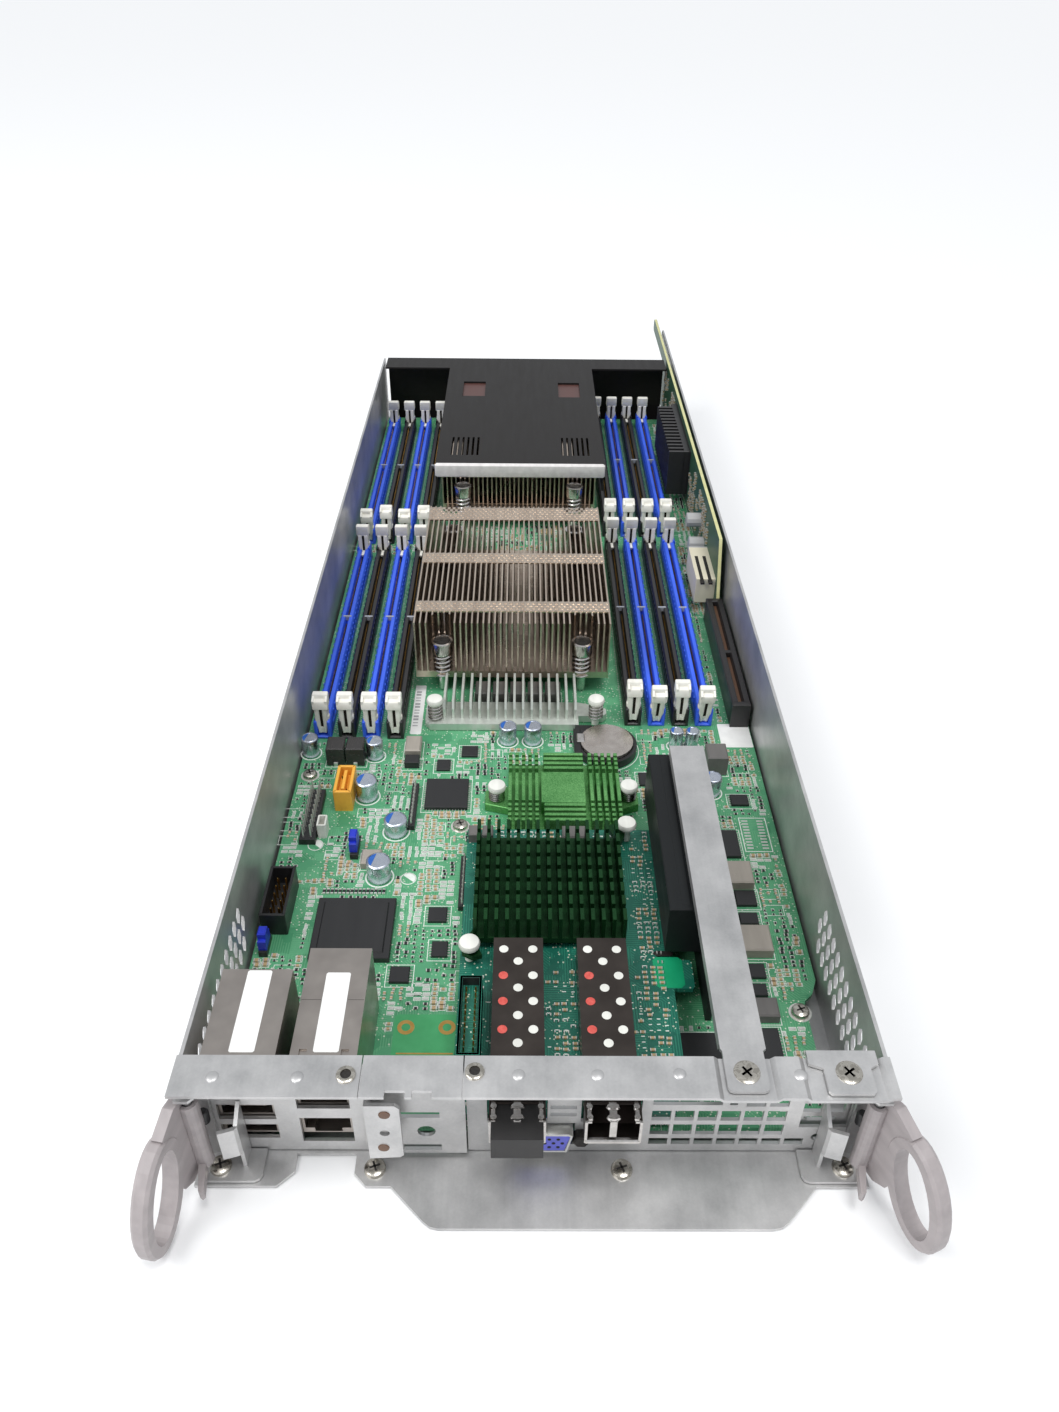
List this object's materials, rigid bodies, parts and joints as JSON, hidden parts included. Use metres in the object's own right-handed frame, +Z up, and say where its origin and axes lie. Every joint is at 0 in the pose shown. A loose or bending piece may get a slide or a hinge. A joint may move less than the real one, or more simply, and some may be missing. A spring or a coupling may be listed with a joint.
{
  "type": "multi node server sled",
  "caption": "Half-width server sled: bent steel tray with board, memory sockets with latches, heatsinks, port stacks, cards, air guide and sprung release rings.",
  "frame": {"origin": "underside of the tray floor at mid-width, below the front edge of the panel's top flange", "axes": "+X to the right seen from the front, +Y from the front panel towards the rear, +Z up out of the tray"},
  "size_m": [0.1953, 0.6011, 0.0416],
  "materials": {
    "zinc_plated_steel": "satin zinc plating",
    "cage_steel": "bright, slightly brown",
    "nickel_fins": "satin",
    "grey_aluminium": "satin",
    "board_green": "solder mask",
    "card_teal": "solder mask",
    "anodised_green": "anodised",
    "anodised_dark_green": "anodised",
    "black_plastic": "matte",
    "black_rubber": "matte",
    "latch_cream": "satin",
    "shield_metal": "tin plated",
    "video_port_blue": "moulded insert in a metal shell",
    "ring_grey": "smooth",
    "cell_steel": "bright"
  },
  "bodies": {
    "sled": {"adapter_card": "board_green", "adapter_heatsink": "black_plastic", "air_shroud": "black_plastic", "chipset_heatsink": "anodised_green", "coin_cell": "cell_steel", "front_cpu_heatsink": "nickel_fins", "front_panel_left": "zinc_plated_steel", "front_panel_right": "zinc_plated_steel", "lan_ports": "shield_metal", "left_catch_bracket": "zinc_plated_steel", "main_board": "board_green", "network_card": "card_teal", "network_heatsink": "anodised_dark_green", "port_bracket": "zinc_plated_steel", "rear_cpu_heatsink": "nickel_fins", "right_catch_bracket": "zinc_plated_steel", "riser_card": "black_plastic", "riser_support_bar": "zinc_plated_steel", "sfp_cage_left": "cage_steel", "sfp_cage_right": "cage_steel", "sled_tray": "zinc_plated_steel", "slot_cover": "zinc_plated_steel", "usb_lan_ports": "shield_metal", "vga_port": "video_port_blue", "vrm_heatsink": "grey_aluminium"},
    "latch_front_left_1_front": {"latch_front_left_1_front": "latch_cream"},
    "latch_front_left_1_rear": {"latch_front_left_1_rear": "latch_cream"},
    "latch_front_left_2_front": {"latch_front_left_2_front": "latch_cream"},
    "latch_front_left_2_rear": {"latch_front_left_2_rear": "latch_cream"},
    "latch_front_left_3_front": {"latch_front_left_3_front": "latch_cream"},
    "latch_front_left_3_rear": {"latch_front_left_3_rear": "latch_cream"},
    "latch_front_left_4_front": {"latch_front_left_4_front": "latch_cream"},
    "latch_front_left_4_rear": {"latch_front_left_4_rear": "latch_cream"},
    "latch_front_right_1_front": {"latch_front_right_1_front": "latch_cream"},
    "latch_front_right_1_rear": {"latch_front_right_1_rear": "latch_cream"},
    "latch_front_right_2_front": {"latch_front_right_2_front": "latch_cream"},
    "latch_front_right_2_rear": {"latch_front_right_2_rear": "latch_cream"},
    "latch_front_right_3_front": {"latch_front_right_3_front": "latch_cream"},
    "latch_front_right_3_rear": {"latch_front_right_3_rear": "latch_cream"},
    "latch_front_right_4_front": {"latch_front_right_4_front": "latch_cream"},
    "latch_front_right_4_rear": {"latch_front_right_4_rear": "latch_cream"},
    "latch_rear_left_1_front": {"latch_rear_left_1_front": "latch_cream"},
    "latch_rear_left_1_rear": {"latch_rear_left_1_rear": "latch_cream"},
    "latch_rear_left_2_front": {"latch_rear_left_2_front": "latch_cream"},
    "latch_rear_left_2_rear": {"latch_rear_left_2_rear": "latch_cream"},
    "latch_rear_left_3_front": {"latch_rear_left_3_front": "latch_cream"},
    "latch_rear_left_3_rear": {"latch_rear_left_3_rear": "latch_cream"},
    "latch_rear_left_4_front": {"latch_rear_left_4_front": "latch_cream"},
    "latch_rear_left_4_rear": {"latch_rear_left_4_rear": "latch_cream"},
    "latch_rear_right_1_front": {"latch_rear_right_1_front": "latch_cream"},
    "latch_rear_right_1_rear": {"latch_rear_right_1_rear": "latch_cream"},
    "latch_rear_right_2_front": {"latch_rear_right_2_front": "latch_cream"},
    "latch_rear_right_2_rear": {"latch_rear_right_2_rear": "latch_cream"},
    "latch_rear_right_3_front": {"latch_rear_right_3_front": "latch_cream"},
    "latch_rear_right_3_rear": {"latch_rear_right_3_rear": "latch_cream"},
    "latch_rear_right_4_front": {"latch_rear_right_4_front": "latch_cream"},
    "latch_rear_right_4_rear": {"latch_rear_right_4_rear": "latch_cream"},
    "left_pull_ring": {"left_pull_ring": "ring_grey"},
    "right_pull_ring": {"right_pull_ring": "ring_grey"},
    "sfp_dust_plug": {"sfp_dust_plug": "black_rubber"}
  },
  "joints": [
    {"name": "hinge_front_left_1_front", "type": "hinge", "parent": "sled", "child": "latch_front_left_1_front", "pos_m": [-0.0798, 0.1811, 0.011], "axis": [1, 0, 0], "range_deg": [0, 13]},
    {"name": "hinge_front_left_1_rear", "type": "hinge", "parent": "sled", "child": "latch_front_left_1_rear", "pos_m": [-0.0798, 0.3147, 0.011], "axis": [-1, 0, 0], "range_deg": [0, 13]},
    {"name": "hinge_front_left_2_front", "type": "hinge", "parent": "sled", "child": "latch_front_left_2_front", "pos_m": [-0.07053, 0.1811, 0.011], "axis": [1, 0, 0], "range_deg": [0, 13]},
    {"name": "hinge_front_left_2_rear", "type": "hinge", "parent": "sled", "child": "latch_front_left_2_rear", "pos_m": [-0.07053, 0.3147, 0.011], "axis": [-1, 0, 0], "range_deg": [0, 13]},
    {"name": "hinge_front_left_3_front", "type": "hinge", "parent": "sled", "child": "latch_front_left_3_front", "pos_m": [-0.06126, 0.1811, 0.011], "axis": [1, 0, 0], "range_deg": [0, 13]},
    {"name": "hinge_front_left_3_rear", "type": "hinge", "parent": "sled", "child": "latch_front_left_3_rear", "pos_m": [-0.06126, 0.3147, 0.011], "axis": [-1, 0, 0], "range_deg": [0, 13]},
    {"name": "hinge_front_left_4_front", "type": "hinge", "parent": "sled", "child": "latch_front_left_4_front", "pos_m": [-0.05199, 0.1811, 0.011], "axis": [1, 0, 0], "range_deg": [0, 13]},
    {"name": "hinge_front_left_4_rear", "type": "hinge", "parent": "sled", "child": "latch_front_left_4_rear", "pos_m": [-0.05199, 0.3147, 0.011], "axis": [-1, 0, 0], "range_deg": [0, 13]},
    {"name": "hinge_rear_left_1_front", "type": "hinge", "parent": "sled", "child": "latch_rear_left_1_front", "pos_m": [-0.0798, 0.3357, 0.011], "axis": [1, 0, 0], "range_deg": [-13, 0]},
    {"name": "hinge_rear_left_1_rear", "type": "hinge", "parent": "sled", "child": "latch_rear_left_1_rear", "pos_m": [-0.0798, 0.4693, 0.011], "axis": [-1, 0, 0], "range_deg": [0, 13]},
    {"name": "hinge_rear_left_2_front", "type": "hinge", "parent": "sled", "child": "latch_rear_left_2_front", "pos_m": [-0.07053, 0.3357, 0.011], "axis": [1, 0, 0], "range_deg": [0, 13]},
    {"name": "hinge_rear_left_2_rear", "type": "hinge", "parent": "sled", "child": "latch_rear_left_2_rear", "pos_m": [-0.07053, 0.4693, 0.011], "axis": [-1, 0, 0], "range_deg": [0, 13]},
    {"name": "hinge_rear_left_3_front", "type": "hinge", "parent": "sled", "child": "latch_rear_left_3_front", "pos_m": [-0.06126, 0.3357, 0.011], "axis": [1, 0, 0], "range_deg": [-13, 0]},
    {"name": "hinge_rear_left_3_rear", "type": "hinge", "parent": "sled", "child": "latch_rear_left_3_rear", "pos_m": [-0.06126, 0.4693, 0.011], "axis": [-1, 0, 0], "range_deg": [0, 13]},
    {"name": "hinge_rear_left_4_front", "type": "hinge", "parent": "sled", "child": "latch_rear_left_4_front", "pos_m": [-0.05199, 0.3357, 0.011], "axis": [1, 0, 0], "range_deg": [0, 13]},
    {"name": "hinge_rear_left_4_rear", "type": "hinge", "parent": "sled", "child": "latch_rear_left_4_rear", "pos_m": [-0.05199, 0.4693, 0.011], "axis": [-1, 0, 0], "range_deg": [0, 13]},
    {"name": "hinge_front_right_1_front", "type": "hinge", "parent": "sled", "child": "latch_front_right_1_front", "pos_m": [0.0403, 0.1902, 0.011], "axis": [1, 0, 0], "range_deg": [0, 13]},
    {"name": "hinge_front_right_1_rear", "type": "hinge", "parent": "sled", "child": "latch_front_right_1_rear", "pos_m": [0.0403, 0.3238, 0.011], "axis": [-1, 0, 0], "range_deg": [0, 13]},
    {"name": "hinge_front_right_2_front", "type": "hinge", "parent": "sled", "child": "latch_front_right_2_front", "pos_m": [0.04957, 0.1902, 0.011], "axis": [1, 0, 0], "range_deg": [-13, 0]},
    {"name": "hinge_front_right_2_rear", "type": "hinge", "parent": "sled", "child": "latch_front_right_2_rear", "pos_m": [0.04957, 0.3238, 0.011], "axis": [-1, 0, 0], "range_deg": [0, 13]},
    {"name": "hinge_front_right_3_front", "type": "hinge", "parent": "sled", "child": "latch_front_right_3_front", "pos_m": [0.05884, 0.1902, 0.011], "axis": [1, 0, 0], "range_deg": [0, 13]},
    {"name": "hinge_front_right_3_rear", "type": "hinge", "parent": "sled", "child": "latch_front_right_3_rear", "pos_m": [0.05884, 0.3238, 0.011], "axis": [-1, 0, 0], "range_deg": [0, 13]},
    {"name": "hinge_front_right_4_front", "type": "hinge", "parent": "sled", "child": "latch_front_right_4_front", "pos_m": [0.06811, 0.1902, 0.011], "axis": [1, 0, 0], "range_deg": [-13, 0]},
    {"name": "hinge_front_right_4_rear", "type": "hinge", "parent": "sled", "child": "latch_front_right_4_rear", "pos_m": [0.06811, 0.3238, 0.011], "axis": [-1, 0, 0], "range_deg": [0, 13]},
    {"name": "hinge_rear_right_1_front", "type": "hinge", "parent": "sled", "child": "latch_rear_right_1_front", "pos_m": [0.0403, 0.3448, 0.011], "axis": [1, 0, 0], "range_deg": [0, 13]},
    {"name": "hinge_rear_right_1_rear", "type": "hinge", "parent": "sled", "child": "latch_rear_right_1_rear", "pos_m": [0.0403, 0.4784, 0.011], "axis": [-1, 0, 0], "range_deg": [0, 13]},
    {"name": "hinge_rear_right_2_front", "type": "hinge", "parent": "sled", "child": "latch_rear_right_2_front", "pos_m": [0.04957, 0.3448, 0.011], "axis": [1, 0, 0], "range_deg": [0, 13]},
    {"name": "hinge_rear_right_2_rear", "type": "hinge", "parent": "sled", "child": "latch_rear_right_2_rear", "pos_m": [0.04957, 0.4784, 0.011], "axis": [-1, 0, 0], "range_deg": [0, 13]},
    {"name": "hinge_rear_right_3_front", "type": "hinge", "parent": "sled", "child": "latch_rear_right_3_front", "pos_m": [0.05884, 0.3448, 0.011], "axis": [1, 0, 0], "range_deg": [0, 13]},
    {"name": "hinge_rear_right_3_rear", "type": "hinge", "parent": "sled", "child": "latch_rear_right_3_rear", "pos_m": [0.05884, 0.4784, 0.011], "axis": [-1, 0, 0], "range_deg": [0, 13]},
    {"name": "hinge_rear_right_4_front", "type": "hinge", "parent": "sled", "child": "latch_rear_right_4_front", "pos_m": [0.06811, 0.3448, 0.011], "axis": [1, 0, 0], "range_deg": [0, 13]},
    {"name": "hinge_rear_right_4_rear", "type": "hinge", "parent": "sled", "child": "latch_rear_right_4_rear", "pos_m": [0.06811, 0.4784, 0.011], "axis": [-1, 0, 0], "range_deg": [0, 13]},
    {"name": "left_ring_hinge", "type": "hinge", "parent": "sled", "child": "left_pull_ring", "pos_m": [-0.085, 0.0038, 0.02], "axis": [0, 0, 1], "range_deg": [0, 16], "stiffness_Nm_per_rad": 0.25},
    {"name": "right_ring_hinge", "type": "hinge", "parent": "sled", "child": "right_pull_ring", "pos_m": [0.085, 0.0038, 0.02], "axis": [0, 0, -1], "range_deg": [0, 16], "stiffness_Nm_per_rad": 0.25},
    {"name": "dust_plug_slide", "type": "slide", "parent": "sled", "child": "sfp_dust_plug", "axis": [0, -1, 0], "range_m": [0, 0.02]}
  ]
}
